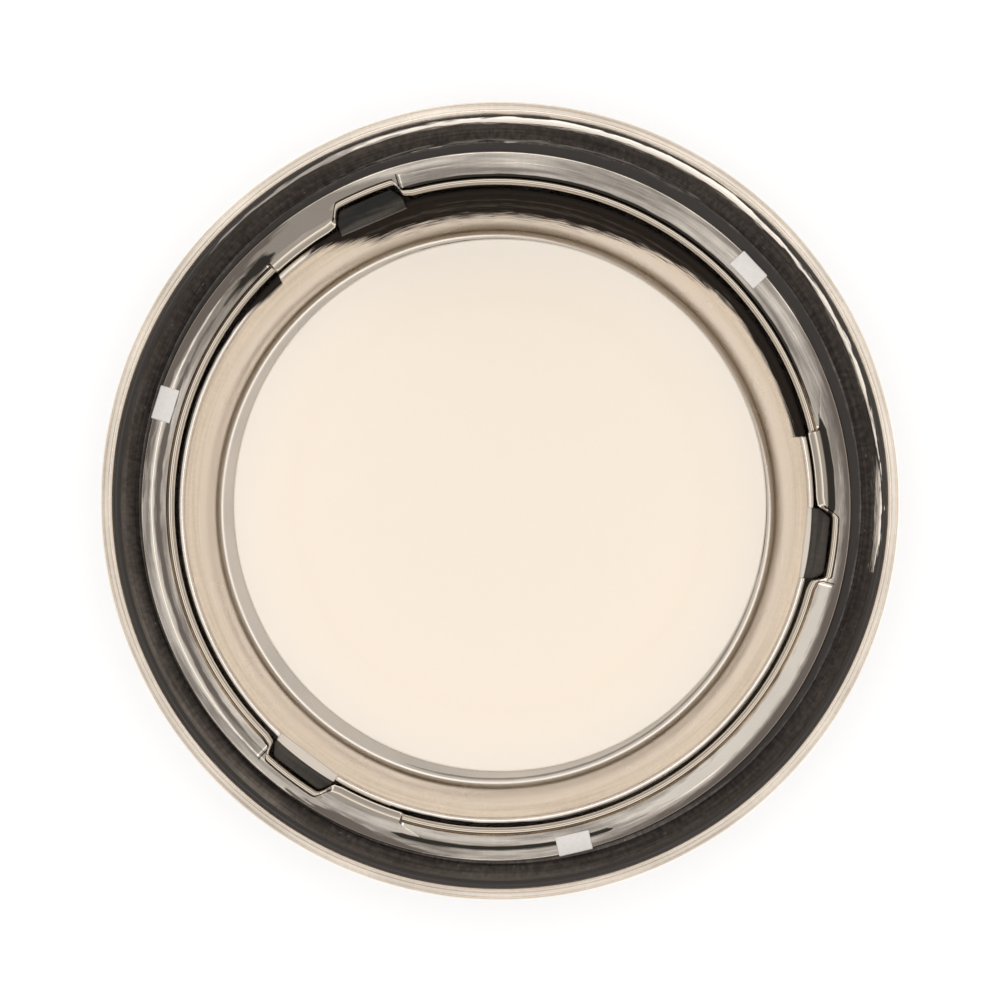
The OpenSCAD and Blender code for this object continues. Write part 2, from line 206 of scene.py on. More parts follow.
# A node group that gives a surface its lathe marks. Lines is the fine turned lines, Streaks
# the longer marks that run round the piece, Cross the short ones that run across it, Clouds
# a slow unevenness and Specks a few pits.
def make_lathe_marks():
    group = bpy.data.node_groups.new("lathe_marks", "ShaderNodeTree")
    side = group.interface
    side.new_socket("Centre", in_out="INPUT", socket_type="NodeSocketVector")
    side.new_socket("Fineness", in_out="INPUT", socket_type="NodeSocketFloat")
    for made in ("Lines", "Streaks", "Clouds", "Cross", "Specks"):
        side.new_socket(made, in_out="OUTPUT", socket_type="NodeSocketFloat")
    nodes, links = group.nodes, group.links
    given = nodes.new("NodeGroupInput")
    result = nodes.new("NodeGroupOutput")
    place = nodes.new("ShaderNodeTexCoord")
    middle = nodes.new("ShaderNodeVectorMath")
    middle.operation = "SUBTRACT"
    links.new(place.outputs["Object"], middle.inputs[0])
    links.new(given.outputs["Centre"], middle.inputs[1])
    parts = nodes.new("ShaderNodeSeparateXYZ")
    links.new(middle.outputs[0], parts.inputs[0])
    level = nodes.new("ShaderNodeVectorMath")
    level.operation = "MULTIPLY"
    level.inputs[1].default_value = (1, 1, 0)
    links.new(middle.outputs[0], level.inputs[0])
    radius = nodes.new("ShaderNodeVectorMath")
    radius.operation = "LENGTH"
    links.new(level.outputs[0], radius.inputs[0])
    round_way = nodes.new("ShaderNodeVectorMath")
    round_way.operation = "NORMALIZE"
    links.new(level.outputs[0], round_way.inputs[0])
    # Across the lines: radius and height together, so that walls and flats both get them
    across = nodes.new("ShaderNodeMath")
    across.operation = "MULTIPLY_ADD"
    across.inputs[1].default_value = LINE_SLANT
    links.new(parts.outputs["Z"], across.inputs[0])
    links.new(radius.outputs["Value"], across.inputs[2])
    pitch = nodes.new("ShaderNodeMath")
    pitch.operation = "MULTIPLY"
    links.new(across.outputs[0], pitch.inputs[0])
    links.new(given.outputs["Fineness"], pitch.inputs[1])
    fine = nodes.new("ShaderNodeTexNoise")
    fine.noise_dimensions = "1D"
    fine.inputs["Scale"].default_value = 1.0
    fine.inputs["Detail"].default_value = 3.0
    links.new(pitch.outputs[0], fine.inputs["W"])
    links.new(fine.outputs["Fac"], result.inputs["Lines"])
    # Streaks: the direction round the piece, and the same radius, stretched the long way
    long_way = nodes.new("ShaderNodeVectorMath")
    long_way.operation = "SCALE"
    long_way.inputs["Scale"].default_value = 2.4
    links.new(round_way.outputs[0], long_way.inputs[0])
    lifted = nodes.new("ShaderNodeCombineXYZ")
    quarter = nodes.new("ShaderNodeMath")
    quarter.operation = "MULTIPLY"
    quarter.inputs[1].default_value = 0.25
    links.new(pitch.outputs[0], quarter.inputs[0])
    links.new(quarter.outputs[0], lifted.inputs["Z"])
    joined = nodes.new("ShaderNodeVectorMath")
    links.new(long_way.outputs[0], joined.inputs[0])
    links.new(lifted.outputs[0], joined.inputs[1])
    streak = nodes.new("ShaderNodeTexNoise")
    streak.inputs["Scale"].default_value = 1.0
    streak.inputs["Detail"].default_value = 4.0
    streak.inputs["Roughness"].default_value = 0.6
    links.new(joined.outputs[0], streak.inputs["Vector"])
    links.new(streak.outputs["Fac"], result.inputs["Streaks"])
    cloud = nodes.new("ShaderNodeTexNoise")
    cloud.inputs["Scale"].default_value = 60.0
    cloud.inputs["Detail"].default_value = 3.0
    links.new(middle.outputs[0], cloud.inputs["Vector"])
    links.new(cloud.outputs["Fac"], result.inputs["Clouds"])
    # Cross: short fine lines up and down the piece, left by drawing it through its die
    short_way = nodes.new("ShaderNodeVectorMath")
    short_way.operation = "SCALE"
    short_way.inputs["Scale"].default_value = 95.0
    links.new(round_way.outputs[0], short_way.inputs[0])
    drawn = nodes.new("ShaderNodeCombineXYZ")
    slow = nodes.new("ShaderNodeMath")
    slow.operation = "MULTIPLY"
    slow.inputs[1].default_value = 350.0
    links.new(across.outputs[0], slow.inputs[0])
    links.new(slow.outputs[0], drawn.inputs["Z"])
    crossed = nodes.new("ShaderNodeVectorMath")
    links.new(short_way.outputs[0], crossed.inputs[0])
    links.new(drawn.outputs[0], crossed.inputs[1])
    cross = nodes.new("ShaderNodeTexNoise")
    cross.inputs["Scale"].default_value = 1.0
    cross.inputs["Detail"].default_value = 2.0
    links.new(crossed.outputs[0], cross.inputs["Vector"])
    links.new(cross.outputs["Fac"], result.inputs["Cross"])
    # Specks: a few pits where the plating caught dust
    pit = nodes.new("ShaderNodeTexVoronoi")
    pit.inputs["Scale"].default_value = 420.0
    links.new(middle.outputs[0], pit.inputs["Vector"])
    small = nodes.new("ShaderNodeMapRange")
    small.inputs["From Min"].default_value = 0.085
    small.inputs["From Max"].default_value = 0.05
    links.new(pit.outputs["Distance"], small.inputs["Value"])
    links.new(small.outputs["Result"], result.inputs["Specks"])
    return group


lathe_marks = make_lathe_marks()


# A node group that masks a crescent on a turned surface: from Start, Length far round, at a
# Radius, Half Width wide each way. Its ends taper over Fade In and Fade Out. Turns are whole
# circles, the rest is in metres. Ragged breaks its edges up along the turning lines.
def make_crescent_mask():
    group = bpy.data.node_groups.new("crescent_mask", "ShaderNodeTree")
    side = group.interface
    side.new_socket("Centre", in_out="INPUT", socket_type="NodeSocketVector")
    for wanted in ("Start", "Length", "Fade In", "Fade Out", "Radius", "Half Width", "Soft", "Ragged"):
        side.new_socket(wanted, in_out="INPUT", socket_type="NodeSocketFloat")
    side.new_socket("Mask", in_out="OUTPUT", socket_type="NodeSocketFloat")
    nodes, links = group.nodes, group.links
    given = nodes.new("NodeGroupInput")
    result = nodes.new("NodeGroupOutput")

    def figure(operation, *terms, clamp=False):
        node = nodes.new("ShaderNodeMath")
        node.operation = operation
        node.use_clamp = clamp
        for spot, term in zip(node.inputs, terms):
            if isinstance(term, (int, float)):
                spot.default_value = term
            else:
                links.new(term, spot)
        return node.outputs[0]

    place = nodes.new("ShaderNodeTexCoord")
    middle = nodes.new("ShaderNodeVectorMath")
    middle.operation = "SUBTRACT"
    links.new(place.outputs["Object"], middle.inputs[0])
    links.new(given.outputs["Centre"], middle.inputs[1])
    parts = nodes.new("ShaderNodeSeparateXYZ")
    links.new(middle.outputs[0], parts.inputs[0])
    x, y, z = parts.outputs
    radius = figure("SQRT", figure("MULTIPLY_ADD", x, x, figure("MULTIPLY", y, y)))
    turn = figure("DIVIDE", figure("ARCTAN2", y, x), math.tau)
    along = figure("FRACT", figure("ADD", figure("SUBTRACT", turn, given.outputs["Start"]), 2.0))
    left = figure("SUBTRACT", given.outputs["Length"], along)
    window = figure("MULTIPLY", figure("DIVIDE", along, given.outputs["Fade In"], clamp=True),
                    figure("DIVIDE", left, given.outputs["Fade Out"], clamp=True))
    grain_place = nodes.new("ShaderNodeCombineXYZ")
    angle = figure("MULTIPLY", turn, math.tau)
    for wanted, shape_of in (("X", "COSINE"), ("Y", "SINE")):
        links.new(figure("MULTIPLY", figure(shape_of, angle), 14.0), grain_place.inputs[wanted])
    slanted = figure("MULTIPLY_ADD", z, LINE_SLANT, radius)
    links.new(figure("MULTIPLY", slanted, 2600.0), grain_place.inputs["Z"])
    grain = nodes.new("ShaderNodeTexNoise")
    grain.inputs["Scale"].default_value = 1.0
    grain.inputs["Detail"].default_value = 3.0
    links.new(grain_place.outputs[0], grain.inputs["Vector"])
    uneven = figure("MULTIPLY", figure("SUBTRACT", grain.outputs["Fac"], 0.5), given.outputs["Ragged"])
    off = figure("ABSOLUTE", figure("SUBTRACT", radius, given.outputs["Radius"]))
    reach = figure("MULTIPLY_ADD", window, given.outputs["Half Width"], uneven)
    inside = figure("SUBTRACT", reach, off)
    edge = figure("ADD", figure("DIVIDE", inside, given.outputs["Soft"]), 0.5, clamp=True)
    shown = figure("MULTIPLY", window, 20.0, clamp=True)
    links.new(figure("MULTIPLY", edge, shown), result.inputs["Mask"])
    return group


crescent_mask = make_crescent_mask()


# Lays crescents of other colours over a metal's base colour. Each is a colour, then start,
# length, fade in and fade out in degrees, then radius, half width, softness and raggedness in mm.
# One in the colour passed as painted shade is laid matt as painted shade, hiding the metal's shine as well.
def with_crescents(metal, centre, crescents, painted_shade_dark=None):
    nodes, links = metal.node_tree.nodes, metal.node_tree.links
    base = nodes["Principled BSDF"].inputs["Base Color"]
    metallic = nodes["Principled BSDF"].inputs["Metallic"]
    if painted_shade_dark:
        nodes["Principled BSDF"].inputs["Specular IOR Level"].default_value = 0.0
    for colour, *angles, radius, half, soft, ragged in crescents:
        mask = nodes.new("ShaderNodeGroup")
        mask.node_tree = crescent_mask
        mask.inputs["Centre"].default_value = (centre[0] * MM, centre[1] * MM, 0)
        for wanted, value in zip(("Start", "Length", "Fade In", "Fade Out"), angles):
            mask.inputs[wanted].default_value = value / 360
        for wanted, value in zip(("Radius", "Half Width", "Soft", "Ragged"), (radius, half, soft, ragged)):
            mask.inputs[wanted].default_value = value * MM
        over = nodes.new("ShaderNodeMix")
        over.data_type = "RGBA"
        links.new(mask.outputs["Mask"], over.inputs["Factor"])
        links.new(base.links[0].from_socket, over.inputs["A"])
        over.inputs["B"].default_value = (*colour, 1)
        links.new(over.outputs["Result"], base)
        if colour == painted_shade_dark:
            painted_shade_matt = nodes.new("ShaderNodeMapRange")
            painted_shade_matt.inputs["To Min"].default_value = 1.0
            painted_shade_matt.inputs["To Max"].default_value = 0.0
            links.new(mask.outputs["Mask"], painted_shade_matt.inputs["Value"])
            shown = nodes.new("ShaderNodeMath")
            shown.operation = "MULTIPLY"
            shown.inputs[1].default_value = metallic.default_value
            if metallic.links:
                links.new(metallic.links[0].from_socket, shown.inputs[1])
            links.new(painted_shade_matt.outputs["Result"], shown.inputs[0])
            links.new(shown.outputs["Value"], metallic)
    return metal


# A plated metal with lathe marks. The two colours are what the clouds and streaks mix.
def plated(name, light, dark, rough, mark_depth, fineness, centre=(0, 0), streak_spread=0.12,
           metallic=1.0, edge_gleam=1.0, cross=0.12, speck=None):
    metal = bpy.data.materials.new(name)
    metal.use_nodes = True
    nodes, links = metal.node_tree.nodes, metal.node_tree.links
    skin = nodes["Principled BSDF"]
    skin.inputs["Metallic"].default_value = metallic
    skin.inputs["Specular Tint"].default_value = (edge_gleam, edge_gleam, edge_gleam, 1)
    marks = nodes.new("ShaderNodeGroup")
    marks.node_tree = lathe_marks
    marks.inputs["Centre"].default_value = (centre[0] * MM, centre[1] * MM, 0)
    marks.inputs["Fineness"].default_value = fineness
    tone = nodes.new("ShaderNodeMapRange")
    tone.inputs["From Min"].default_value = 0.5 - streak_spread
    tone.inputs["From Max"].default_value = 0.5 + streak_spread
    links.new(marks.outputs["Streaks"], tone.inputs["Value"])
    colour = nodes.new("ShaderNodeMix")
    colour.data_type = "RGBA"
    colour.inputs["A"].default_value = (*dark, 1)
    colour.inputs["B"].default_value = (*light, 1)
    links.new(tone.outputs["Result"], colour.inputs["Factor"])
    drawn = nodes.new("ShaderNodeMapRange")
    drawn.inputs["From Min"].default_value = 0.35
    drawn.inputs["From Max"].default_value = 0.65
    drawn.inputs["To Min"].default_value = 1 - cross
    drawn.inputs["To Max"].default_value = 1 + cross
    links.new(marks.outputs["Cross"], drawn.inputs["Value"])
    lined = nodes.new("ShaderNodeVectorMath")
    lined.operation = "SCALE"
    links.new(colour.outputs["Result"], lined.inputs[0])
    links.new(drawn.outputs["Result"], lined.inputs["Scale"])
    links.new(lined.outputs[0], skin.inputs["Base Color"])
    if speck:
        pitted = nodes.new("ShaderNodeMix")
        pitted.data_type = "RGBA"
        pitted.inputs["B"].default_value = (*speck, 1)
        links.new(marks.outputs["Specks"], pitted.inputs["Factor"])
        links.new(lined.outputs[0], pitted.inputs["A"])
        links.new(pitted.outputs["Result"], skin.inputs["Base Color"])
    gloss = nodes.new("ShaderNodeMapRange")
    gloss.inputs["From Min"].default_value = 0.3
    gloss.inputs["From Max"].default_value = 0.7
    gloss.inputs["To Min"].default_value = rough * 0.75
    gloss.inputs["To Max"].default_value = rough * 1.3
    links.new(marks.outputs["Clouds"], gloss.inputs["Value"])
    links.new(gloss.outputs["Result"], skin.inputs["Roughness"])
    relief = nodes.new("ShaderNodeBump")
    relief.inputs["Strength"].default_value = 0.5
    relief.inputs["Distance"].default_value = mark_depth * MM
    links.new(marks.outputs["Lines"], relief.inputs["Height"])
    links.new(relief.outputs["Normal"], skin.inputs["Normal"])
    return metal


rim_bead.data.materials.append(plated("rim_nickel_plate", (0.92, 0.84, 0.75), (0.78, 0.70, 0.61),
                                      rough=0.22, mark_depth=0.006, fineness=6000, cross=0.015))


# ---------------------------------------------------------------- Shell
# The outer cup: nickel-plated sheet spun over a form, with faint spinning lines outside.

shell_low, shell_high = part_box("outer_shell")
shell_wall = 0.8
shell_foot_r = shell_top_r - 1.6
shell_z = shell_low[2] / MM
floor_z = shell_z + 1.2
shell_edge_z = shell_high[2] / MM
corner = 3.0
bend = corner - shell_wall

shell_outline = [(0, shell_z, 0)]
shell_outline += arc(shell_foot_r - corner, shell_z + corner, corner, -90, 0)
shell_outline += [(shell_top_r, shell_edge_z, 0), (shell_top_r - shell_wall, shell_edge_z, 0)]
shell_outline += arc(shell_foot_r - shell_wall - bend, floor_z + bend, bend, 0, -90)
shell_outline += [(0, floor_z, 0)]
shell_cup = turned("shell_cup", shell_outline, closed=False)
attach(shell_cup, "shell")
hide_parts("outer_shell")
shell_cup.data.materials.append(plated("shell_nickel_plate", (0.53, 0.48, 0.43), (0.40, 0.36, 0.32),
                                       rough=0.24, mark_depth=0.004, fineness=9000, cross=0.03))


# ---------------------------------------------------------------- Liner
# The dark band inside the rim: a drawn plated ring hung from the shell's edge, its near-black colour
# painted reflection of the dark surroundings that its plating mirrors.
# Its bottom flange carries the ledge.

liner_t = 0.6
shoulder = 0.9
ledge_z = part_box("bayonet_ring")[1][2] / MM - 0.5
ledge_under_z = ledge_z - 1.2
ledge_r = rim_in_r - 3.8
shift = 0.8
liner_foot_r = ledge_r + shift + 0.1
lip_r = ledge_r - 4.5
sleeve_in_r = lip_r + 1.9 + 0.1
sleeve_r = sleeve_in_r + 0.5
liner_hole_r = sleeve_r + shift + 0.1
shoulder_r = rim_in_r - 0.1


# The liner's face: a shallow cove from its shoulder down to its foot
def liner_face(offset, first, last, steps=24):
    points = []
    top_r = shoulder_r - shoulder
    top_z = liner_top_z - shoulder
    for i in range(steps + 1):
        t = first + (last - first) * i / steps
        sag = 0.3 * math.sin(math.pi * t)
        points.append((top_r + (liner_foot_r - top_r) * t + sag / 2 + offset,
                       top_z + (ledge_under_z - top_z) * t - sag, 0))
    return points


flange_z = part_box("flare_ring")[0][2] / MM
liner_outline = [(shell_top_r, shell_edge_z, 0), (shell_top_r, liner_top_z, 0)]
liner_outline += arc(shoulder_r, liner_top_z - shoulder, shoulder, 90, 180)
liner_outline += liner_face(0, 0.04, 1)
liner_outline += [(liner_hole_r, ledge_under_z, 0.1), (liner_hole_r, flange_z, 0.1),
                  (liner_foot_r + liner_t, flange_z, 0)]
liner_outline += liner_face(liner_t, 0.92, 0.15, 10)
liner_outline += [(shoulder_r - 0.1, shell_edge_z - shoulder, 0), (shoulder_r - 0.1, shell_edge_z, 0)]
dark_liner = turned("dark_liner", liner_outline)
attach(dark_liner, "shell")
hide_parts("flare_ring")
# Painted reflection: the liner's near-black colour stands for the dark surroundings mirrored in its plating.
dark_reflection_metal = plated("painted_dark_reflection_plate", (0.135, 0.113, 0.098), (0.070, 0.058, 0.050),
                  rough=0.34, mark_depth=0.006, fineness=4000, metallic=0.5, cross=0.30,
                  speck=(0.34, 0.30, 0.27))
# Painted light on the liner: the bright streaks round its shoulder are painted highlights, the grey streaks
# there and near its foot painted reflection, and the dark rings at its top edge and at its foot painted shade.
painted_highlight = (0.98, 0.90, 0.80)
painted_grey_reflection = (0.42, 0.37, 0.33)
shade = (0.035, 0.029, 0.025)
dark_liner.data.materials.append(with_crescents(dark_reflection_metal, (0, 0), (
    (shade, 0, 360, 0.01, 0.01, 52.9, 0.55, 0.3, 0),
    (shade, 290, 290, 20, 30, 49.6, 0.8, 0.5, 1.2),
    (painted_grey_reflection, 84, 56, 14, 34, 52.78, 0.34, 0.14, 0.7),
    (painted_highlight, 36, 82, 14, 30, 52.76, 0.36, 0.10, 0.9),
    (painted_highlight, 6, 36, 12, 8, 52.66, 0.24, 0.10, 1.0),
    (painted_highlight, 349, 18, 5, 5, 52.42, 0.30, 0.08, 2.0),
    (painted_grey_reflection, 56, 62, 20, 20, 50.65, 0.10, 0.08, 1.1),
)))


# ---------------------------------------------------------------- Bayonet ledge
# A plated die casting: a flat ledge with a beaded lip, three entry notches, three stop
# blocks, and a low land that climbs off the lip just past each block.

ring_centre = tuple(shift * math.sqrt(0.5) * -1 for _ in range(2))
notch_dir = 113.2
notch_half = 6.25
block_angle = 13.5
ramp_angle = 6.5
notch_r = lip_r + 1.9
channel_z = ledge_under_z - 3.6
hem_r = liner_hole_r + shift + 0.3
bead_h = 0.5
land_h = 0.4
land_w = 2.4
dish_top_r = lip_r - 0.5
block_r = dish_top_r + 0.3
tighter = 0.2
tighter_block = 0.8
fold = 120


# 0 below low, 1 above high, and a smooth climb between
def climb(value, low, high):
    t = min(max((value - low) / (high - low), 0), 1)
    return t * t * (3 - 2 * t)


# The ledge's section at an angle a, in degrees past the middle of a notch
def ledge_section(a):
    a = (a + fold / 2) % fold - fold / 2
    past = a % fold
    across = lip_r * math.radians(a)
    notch = climb(across, -5.35, -4.2) * (1 - climb(across, 3.6, 5.45))
    # Away from the notches the lip and the blocks stand a little closer to the dish
    closer = tighter * (1 - climb(across, -6.6, -5.4) * (1 - climb(across, 5.4, 6.6)))
    edge_r = lip_r - closer
    start = notch_half + block_angle
    block = climb(past, notch_half, notch_half + 0.4) * (1 - climb(past, start, start + 0.4))
    land = climb(past, start, start + 0.7) * (1 - climb(past, fold - notch_half - 0.4, fold - notch_half))
    reach = 0.1 + (land_w - 0.6) * min(max((past - start) / ramp_angle, 0), 1)
    inner = edge_r + (notch_r - edge_r) * notch - (edge_r - block_r + tighter_block * closer) * block
    bead = bead_h * (1 - 0.9 * block)
    top = ledge_z
    step = land_h * land
    keep = ledge_r - 0.3
    section = [(inner, ledge_under_z - (ledge_under_z - channel_z) * block)]
    for i in range(7):
        turn = math.radians(180 - 160 * i / 6)
        section.append((edge_r + bead_h + bead_h * math.cos(turn), top + bead * math.sin(turn)))
    land_in = edge_r + 1.05
    section += [(land_in, top), (land_in + 0.05, top + step), (land_in + 0.1 + reach, top + step),
                (land_in + 0.15 + reach, top + step * 0.6), (land_in + 0.2 + reach, top)]
    # The bead follows a notch or a block at its full width, and the flat behind it gives way
    bead_end = edge_r + 2 * bead_h
    pushed = [section[0]]
    for r, z in section[1:]:
        if r < bead_end:
            r += inner - edge_r
        else:
            flat = keep - bead_end
            r = keep - (keep - r) * (flat - inner + edge_r) / flat
        pushed.append((r, z))
    pushed += [(ledge_r - 0.3, top), (ledge_r - 0.2, top), (ledge_r - 0.05, top - 0.08), (ledge_r, top - 0.25),
               (ledge_r, ledge_under_z), (sleeve_r, ledge_under_z), (sleeve_r, flange_z),
               (hem_r, flange_z), (hem_r, flange_z - 0.8), (sleeve_r, flange_z - 0.8),
               (sleeve_r, channel_z), (sleeve_in_r, channel_z),
               (sleeve_in_r, ledge_under_z - (ledge_under_z - channel_z - 0.05) * block)]
    return pushed


casting = bmesh.new()
station = casting.verts.layers.int.new("station")
ring_points = []
for number, (r, z) in enumerate(ledge_section(60)):
    point = casting.verts.new((r * MM, 0, z * MM))
    point[station] = number
    ring_points.append(point)
for number, point in enumerate(ring_points):
    casting.edges.new((ring_points[number - 1], point))
spin_round(casting, 1080, sectors=36)
sections = {}
for point in casting.verts:
    angle = round(math.degrees(math.atan2(point.co.y, point.co.x)) * 6) / 6
    if angle not in sections:
        sections[angle] = ledge_section(angle - notch_dir)
    r, z = sections[angle][point[station]]
    point.co = (r * MM * math.cos(math.radians(angle)), r * MM * math.sin(math.radians(angle)), z * MM)
bmesh.ops.translate(casting, verts=casting.verts, vec=(ring_centre[0] * MM, ring_centre[1] * MM, 0))
bayonet_ledge = finished("bayonet_ledge", casting)
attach(bayonet_ledge, "shell")
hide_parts("bayonet_ring")
# The ledge's dark streak colour, far darker than nickel, makes its streaks both lathe marks and painted
# reflection banding.
ledge_nickel = plated("ledge_nickel_plate", (0.80, 0.72, 0.63), (0.32, 0.282, 0.245),
                      rough=0.16, mark_depth=0.001, fineness=2600, centre=ring_centre, cross=0.02)
# Painted light on the ledge: a grey patch and dark brown streaks are painted reflection, the bright streaks
# painted highlights, the near-black lines along the channels, by a notch and past the stop blocks painted
# shade, and the darker rings along the bead and the notches' outer edges painted shade dimming their shine.
painted_shade_dark = (0.045, 0.038, 0.031)
painted_dark_reflection = (0.19, 0.16, 0.135)
bright = (0.88, 0.80, 0.70)
crest = (0.46, 0.40, 0.33)
bayonet_ledge.data.materials.append(with_crescents(ledge_nickel, ring_centre, (
    ((0.36, 0.315, 0.27), 104, 60, 16, 16, 47.9, 1.9, 1.0, 1.4),
    (painted_dark_reflection, 126, 54, 12, 30, 49.2, 1.1, 0.5, 1.8),
    (painted_dark_reflection, 233, 30, 10, 20, 49.2, 1.1, 0.4, 1.8),
    (painted_dark_reflection, 280, 114, 20, 20, 49.4, 0.9, 0.8, 1.3),
    (bright, 142, 92, 20, 20, 48.0, 0.34, 0.2, 0.6),
    (bright, 290, 62, 20, 12, 47.2, 1.2, 0.6, 1.4),
    (painted_dark_reflection, 142, 90, 20, 20, 47.1, 0.34, 0.2, 0.8),
    (painted_shade_dark, 15, 92, 14, 1, 46.12, 0.25, 0.12, 0.3),
    (painted_shade_dark, 354, 22, 3, 3, 46.8, 0.55, 0.14, 0.3),
    (painted_shade_dark, 131, 13, 2, 9, 47.0, 0.9, 0.5, 1.2),
    (painted_shade_dark, 252, 38, 2, 1, 47.75, 0.34, 0.12, 0.2),
    (painted_dark_reflection, 303, 54, 14, 14, 49.0, 0.9, 0.9, 1.1),
    (crest, 0, 360, 0.01, 0.01, 45.4, 0.45, 0.12, 0.1),
    *((crest, notch_dir + notch_half - 0.5 + fold * n, block_angle + 1.5, 1, 1, 45.4, 0.9, 0.2, 0.1)
      for n in range(3)),
    *((crest, notch_dir - notch_half + fold * n, 2 * notch_half, 1, 1, 47.4, 0.5, 0.12, 0)
      for n in range(3)),
)))


# ---------------------------------------------------------------- Ledge pads
# Three small blocks of light grey nylon, pegged into the ledge's outer part.

def moulded(name, colour, rough, grain, depth, spread=0.1, gleam=0.5):
    plastic = bpy.data.materials.new(name)
    plastic.use_nodes = True
    nodes, links = plastic.node_tree.nodes, plastic.node_tree.links
    skin = nodes["Principled BSDF"]
    place = nodes.new("ShaderNodeTexCoord")
    speckle = nodes.new("ShaderNodeTexNoise")
    speckle.inputs["Scale"].default_value = grain
    speckle.inputs["Detail"].default_value = 4.0
    links.new(place.outputs["Object"], speckle.inputs["Vector"])
    tone = nodes.new("ShaderNodeMix")
    tone.data_type = "RGBA"
    tone.inputs["A"].default_value = (*(c * (1 - spread) for c in colour), 1)
    tone.inputs["B"].default_value = (*(min(c * (1 + spread), 1) for c in colour), 1)
    skin.inputs["Specular IOR Level"].default_value = gleam
    links.new(speckle.outputs["Fac"], tone.inputs["Factor"])
    links.new(tone.outputs["Result"], skin.inputs["Base Color"])
    gloss = nodes.new("ShaderNodeMapRange")
    gloss.inputs["To Min"].default_value = rough * 0.8
    gloss.inputs["To Max"].default_value = rough * 1.2
    links.new(speckle.outputs["Fac"], gloss.inputs["Value"])
    links.new(gloss.outputs["Result"], skin.inputs["Roughness"])
    relief = nodes.new("ShaderNodeBump")
    relief.inputs["Strength"].default_value = 0.4
    relief.inputs["Distance"].default_value = depth * MM
    links.new(speckle.outputs["Fac"], relief.inputs["Height"])
    links.new(relief.outputs["Normal"], skin.inputs["Normal"])
    return plastic


pad_nylon = moulded("grey_nylon", (0.70, 0.66, 0.62), rough=0.5, grain=2500, depth=0.02)
pad_w = 2.7
pad_l = 4.8
pad_h = 0.6
for number in range(3):
    block = bmesh.new()
    bmesh.ops.create_cube(block, size=1.0)
    bmesh.ops.scale(block, verts=block.verts, vec=(pad_w * MM, pad_l * MM, pad_h * MM))
    bmesh.ops.bevel(block, geom=list(block.edges), offset=0.15 * MM, offset_type="OFFSET", affect="EDGES",
                    segments=3, profile=0.5, material=-1)
    bmesh.ops.translate(block, verts=block.verts,
                        vec=((ledge_r - pad_w / 2) * MM, 0, (ledge_z + pad_h / 2) * MM))
    bmesh.ops.rotate(block, verts=block.verts, cent=(0, 0, 0),
                     matrix=Matrix.Rotation(math.radians(43 + fold * number), 3, "Z"))
    bmesh.ops.translate(block, verts=block.verts, vec=(ring_centre[0] * MM, ring_centre[1] * MM, 0))
    pad = finished(f"nylon_pad_{number + 1}", block)
    pad.data.materials.append(pad_nylon)
    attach(pad, "shell")
    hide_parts(f"ledge_pad_{number + 1}")


# ---------------------------------------------------------------- Dish
# The inner dish, pressed in one piece and plated satin: an upright edge, a wall that
# leans in with a slight hollow, and a flat floor.

dish_wall_t = 0.8
dish_in_r = dish_top_r - dish_wall_t
dish_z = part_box("dish_pan")[0][2] / MM
dish_edge_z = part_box("dish_pan")[1][2] / MM
dish_floor_z = dish_z + dish_wall_t
dish_taper = 3.4
dish_floor_r = dish_in_r - dish_taper
dish_corner = 1.0
upright = 2.0


# The dish's wall, from the bend below its edge down to the corner at its floor
def dish_face(offset, steps=24):
    bend_z = dish_edge_z - upright
    low_z = dish_floor_z + dish_corner
    return [(dish_in_r - dish_taper * i / steps - 0.45 * math.sin(math.pi * i / steps) + offset,
             bend_z + (low_z - bend_z) * i / steps, 0) for i in range(steps + 1)]


corner_r = dish_floor_r - dish_corner
corner_z = dish_floor_z + dish_corner
outside = dish_corner + dish_wall_t
dish_outline = [(0, dish_floor_z, 0)]
dish_outline += arc(corner_r, corner_z, dish_corner, -90, -10, 6)
dish_outline += dish_face(0)[::-1]
dish_outline += [(dish_in_r, dish_edge_z, 0.3), (dish_in_r + dish_wall_t, dish_edge_z, 0.3)]
dish_outline += dish_face(dish_wall_t)[:-1]
dish_outline += arc(corner_r, corner_z, outside, -10, -90, 6)
dish_outline += [(0, dish_z, 0)]
inner_dish = turned("inner_dish", dish_outline, ring_centre, closed=False)
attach(inner_dish, "dish")
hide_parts("dish_pan")
dish_finish = dict(light=(0.84, 0.77, 0.69), dark=(0.71, 0.645, 0.57), rough=0.27, mark_depth=0.006,
                   fineness=1900, centre=ring_centre, edge_gleam=0.8, cross=0.03)
satin = plated("dish_satin_plate", **dish_finish)
